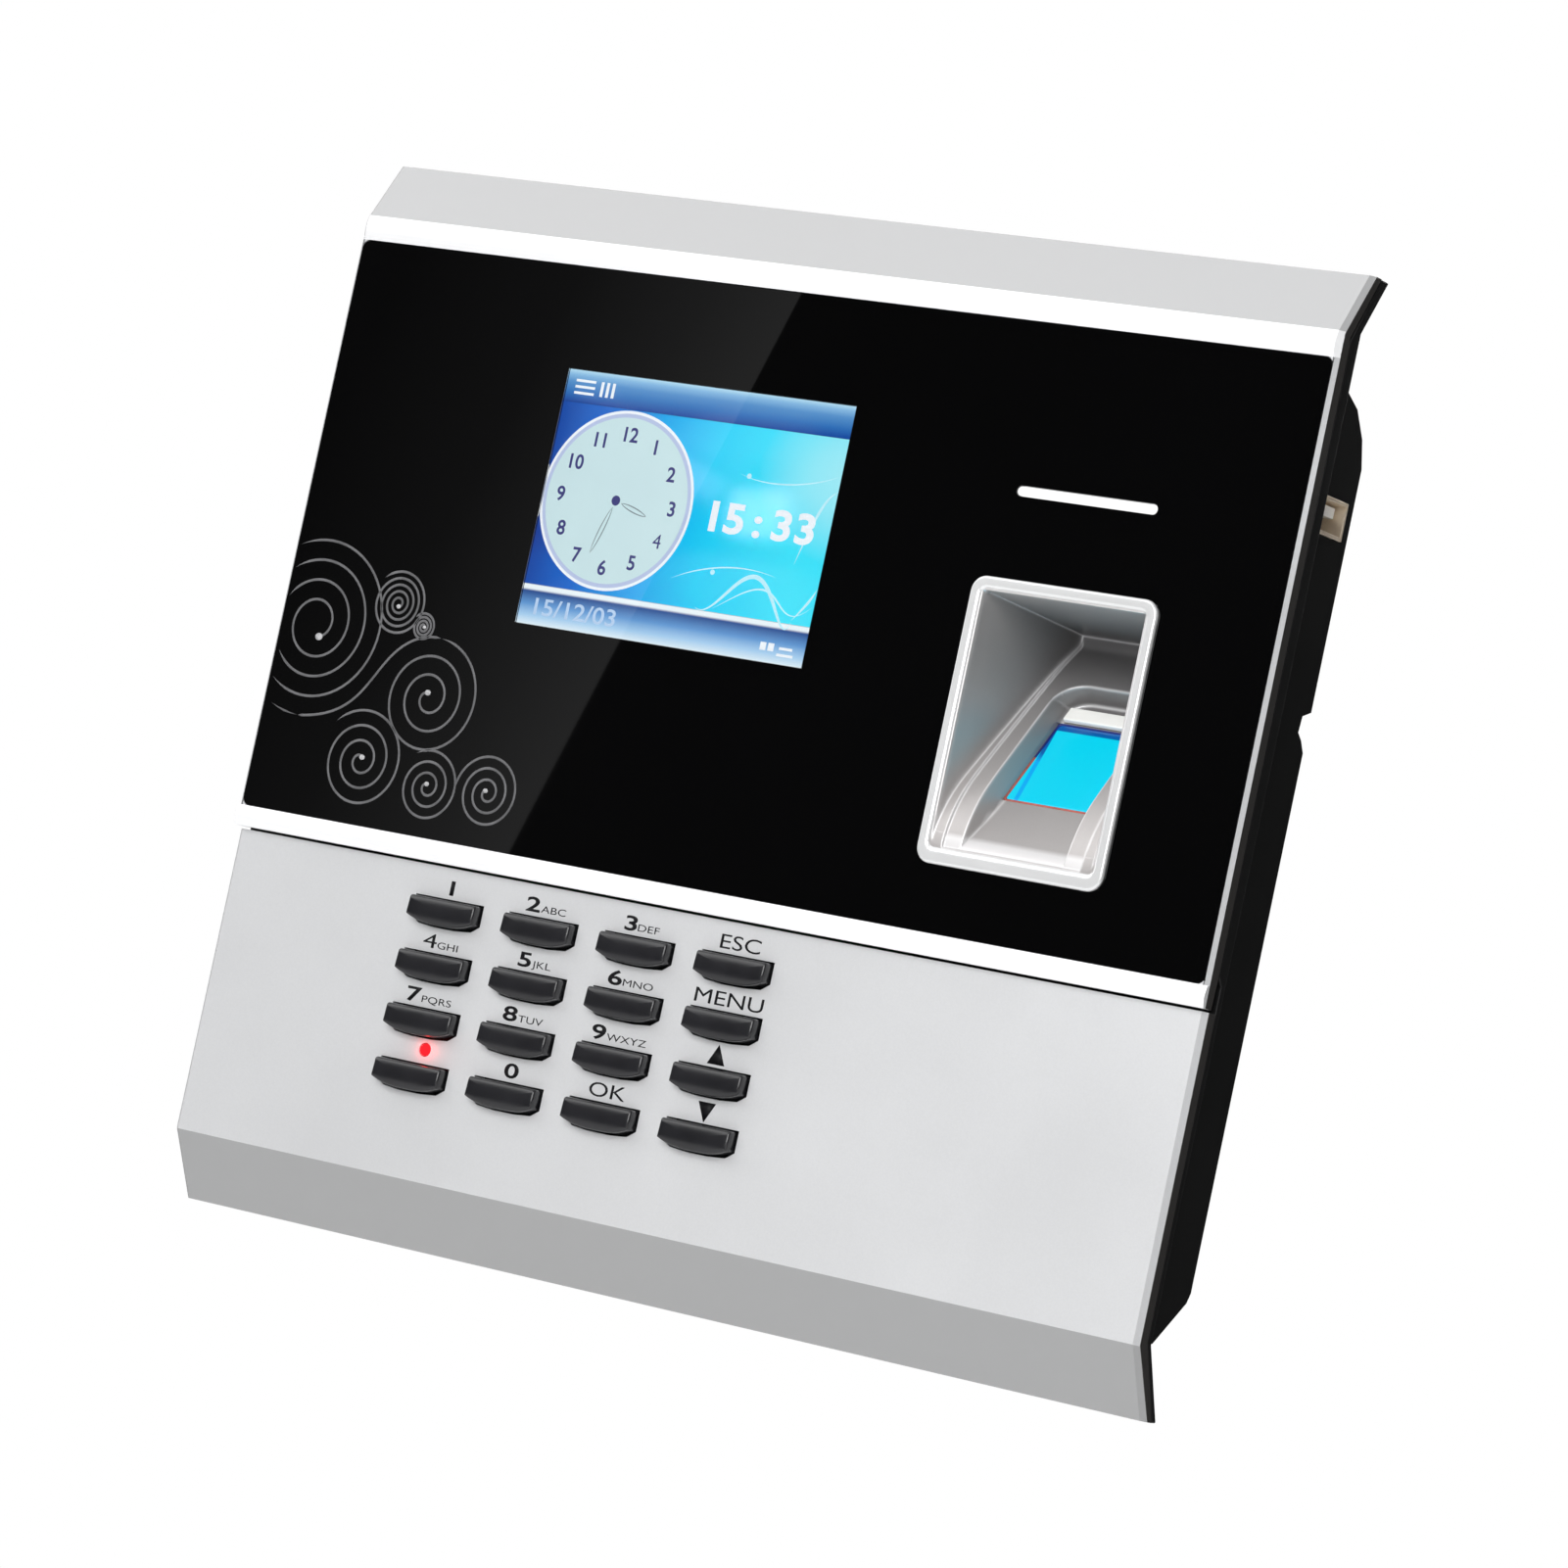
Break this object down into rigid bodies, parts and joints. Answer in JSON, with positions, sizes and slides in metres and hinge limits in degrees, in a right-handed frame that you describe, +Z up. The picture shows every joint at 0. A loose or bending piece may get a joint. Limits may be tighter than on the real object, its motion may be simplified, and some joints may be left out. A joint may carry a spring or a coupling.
{
  "type": "fingerprint scanner terminal",
  "caption": "Wall-mounted fingerprint terminal with a colour display, a finger cavity with a glowing sensor, a keypad and a hook-on wall plate.",
  "frame": {"origin": "on the wall side of the wall plate, on its left-right centre line, so the wall is the plane Y = 0", "axes": "+X to the right of a person facing the terminal, +Y back into the wall, +Z up"},
  "size_m": [0.19, 0.04, 0.1799],
  "materials": {
    "steel": "zinc-plated pressed steel sheet",
    "black_plastic": "black moulded plastic with a fine spark texture",
    "silver_paint": "satin silver paint on moulded plastic, fine metallic grain",
    "black_glass": "clear panel printed black on its back, mirror gloss",
    "clear_lens": "clear hard-coated lens",
    "white_light": "milky light guide, lit white",
    "display_picture": "colour display, lit",
    "bright_silver": "bright silver paint, semi-gloss",
    "sensor_glow": "sensor glass lit cyan from below",
    "white_plastic": "white moulded plastic",
    "red_light": "clear red indicator, lit",
    "grey_rubber": "grey silicone rubber",
    "circuit_board": "green solder mask",
    "nickel": "nickel plated",
    "green_plastic": "green moulded plastic",
    "battery_wrap": "shrink wrap over a pouch cell",
    "flat_cable": "amber polyimide film",
    "key_plastic": "dark grey moulded plastic, satin"
  },
  "bodies": {
    "wall_plate": {"wall_plate": "steel"},
    "terminal": {"rear_housing": "black_plastic", "front_chassis": "black_plastic", "upper_front_frame": "silver_paint", "lower_faceplate": "silver_paint", "glass_panel": "black_glass", "display_lens": "clear_lens", "light_bar": "white_light", "lcd_panel": "display_picture", "lcd_frame": "steel", "fingerprint_bezel": "bright_silver", "sensor_window": "sensor_glow", "sensor_retainer": "white_plastic", "sensor_module": "black_plastic", "status_led": "red_light", "keypad_mat": "grey_rubber", "keypad_board": "circuit_board", "main_board": "circuit_board", "usb_socket": "nickel", "usb_tongue": "white_plastic", "usb_board": "circuit_board", "network_jack": "black_plastic", "power_terminal": "green_plastic", "speaker": "black_plastic", "backup_battery": "battery_wrap", "cell_holder": "black_plastic", "coin_cell": "steel", "tamper_switch": "black_plastic", "lcd_flex": "flat_cable", "keypad_flex": "flat_cable", "sensor_cable": "flat_cable", "lock_screw": "nickel", "case_screw_1": "nickel", "case_screw_2": "nickel", "case_screw_3": "nickel", "case_screw_4": "nickel"},
    "tamper_plunger": {"tamper_plunger": "white_plastic"},
    "key_1": {"key_1": "key_plastic"},
    "key_2": {"key_2": "key_plastic"},
    "key_3": {"key_3": "key_plastic"},
    "key_esc": {"key_esc": "key_plastic"},
    "key_4": {"key_4": "key_plastic"},
    "key_5": {"key_5": "key_plastic"},
    "key_6": {"key_6": "key_plastic"},
    "key_menu": {"key_menu": "key_plastic"},
    "key_7": {"key_7": "key_plastic"},
    "key_8": {"key_8": "key_plastic"},
    "key_9": {"key_9": "key_plastic"},
    "key_up": {"key_up": "key_plastic"},
    "key_power": {"key_power": "key_plastic"},
    "key_0": {"key_0": "key_plastic"},
    "key_ok": {"key_ok": "key_plastic"},
    "key_down": {"key_down": "key_plastic"}
  },
  "joints": [
    {"name": "terminal_lift", "type": "slide", "parent": "wall_plate", "child": "terminal", "axis": [0, 0, 1], "range_m": [0, 0.005]},
    {"name": "key_1_press", "type": "slide", "parent": "terminal", "child": "key_1", "axis": [0, 1, 0], "range_m": [0, 0.001], "stiffness_N_per_m": 400, "springref_m": -0.0005},
    {"name": "key_2_press", "type": "slide", "parent": "terminal", "child": "key_2", "axis": [0, 1, 0], "range_m": [0, 0.001], "stiffness_N_per_m": 400, "springref_m": -0.0005},
    {"name": "key_3_press", "type": "slide", "parent": "terminal", "child": "key_3", "axis": [0, 1, 0], "range_m": [0, 0.001], "stiffness_N_per_m": 400, "springref_m": -0.0005},
    {"name": "key_esc_press", "type": "slide", "parent": "terminal", "child": "key_esc", "axis": [0, 1, 0], "range_m": [0, 0.001], "stiffness_N_per_m": 400, "springref_m": -0.0005},
    {"name": "key_4_press", "type": "slide", "parent": "terminal", "child": "key_4", "axis": [0, 1, 0], "range_m": [0, 0.001], "stiffness_N_per_m": 400, "springref_m": -0.0005},
    {"name": "key_5_press", "type": "slide", "parent": "terminal", "child": "key_5", "axis": [0, 1, 0], "range_m": [0, 0.001], "stiffness_N_per_m": 400, "springref_m": -0.0005},
    {"name": "key_6_press", "type": "slide", "parent": "terminal", "child": "key_6", "axis": [0, 1, 0], "range_m": [0, 0.001], "stiffness_N_per_m": 400, "springref_m": -0.0005},
    {"name": "key_menu_press", "type": "slide", "parent": "terminal", "child": "key_menu", "axis": [0, 1, 0], "range_m": [0, 0.001], "stiffness_N_per_m": 400, "springref_m": -0.0005},
    {"name": "key_7_press", "type": "slide", "parent": "terminal", "child": "key_7", "axis": [0, 1, 0], "range_m": [0, 0.001], "stiffness_N_per_m": 400, "springref_m": -0.0005},
    {"name": "key_8_press", "type": "slide", "parent": "terminal", "child": "key_8", "axis": [0, 1, 0], "range_m": [0, 0.001], "stiffness_N_per_m": 400, "springref_m": -0.0005},
    {"name": "key_9_press", "type": "slide", "parent": "terminal", "child": "key_9", "axis": [0, 1, 0], "range_m": [0, 0.001], "stiffness_N_per_m": 400, "springref_m": -0.0005},
    {"name": "key_up_press", "type": "slide", "parent": "terminal", "child": "key_up", "axis": [0, 1, 0], "range_m": [0, 0.001], "stiffness_N_per_m": 400, "springref_m": -0.0005},
    {"name": "key_power_press", "type": "slide", "parent": "terminal", "child": "key_power", "axis": [0, 1, 0], "range_m": [0, 0.001], "stiffness_N_per_m": 400, "springref_m": -0.0005},
    {"name": "key_0_press", "type": "slide", "parent": "terminal", "child": "key_0", "axis": [0, 1, 0], "range_m": [0, 0.001], "stiffness_N_per_m": 400, "springref_m": -0.0005},
    {"name": "key_ok_press", "type": "slide", "parent": "terminal", "child": "key_ok", "axis": [0, 1, 0], "range_m": [0, 0.001], "stiffness_N_per_m": 400, "springref_m": -0.0005},
    {"name": "key_down_press", "type": "slide", "parent": "terminal", "child": "key_down", "axis": [0, 1, 0], "range_m": [0, 0.001], "stiffness_N_per_m": 400, "springref_m": -0.0005},
    {"name": "tamper_plunger_slide", "type": "slide", "parent": "terminal", "child": "tamper_plunger", "axis": [0, 1, 0], "range_m": [-0.0015, 0], "stiffness_N_per_m": 200, "springref_m": 0.0015}
  ]
}
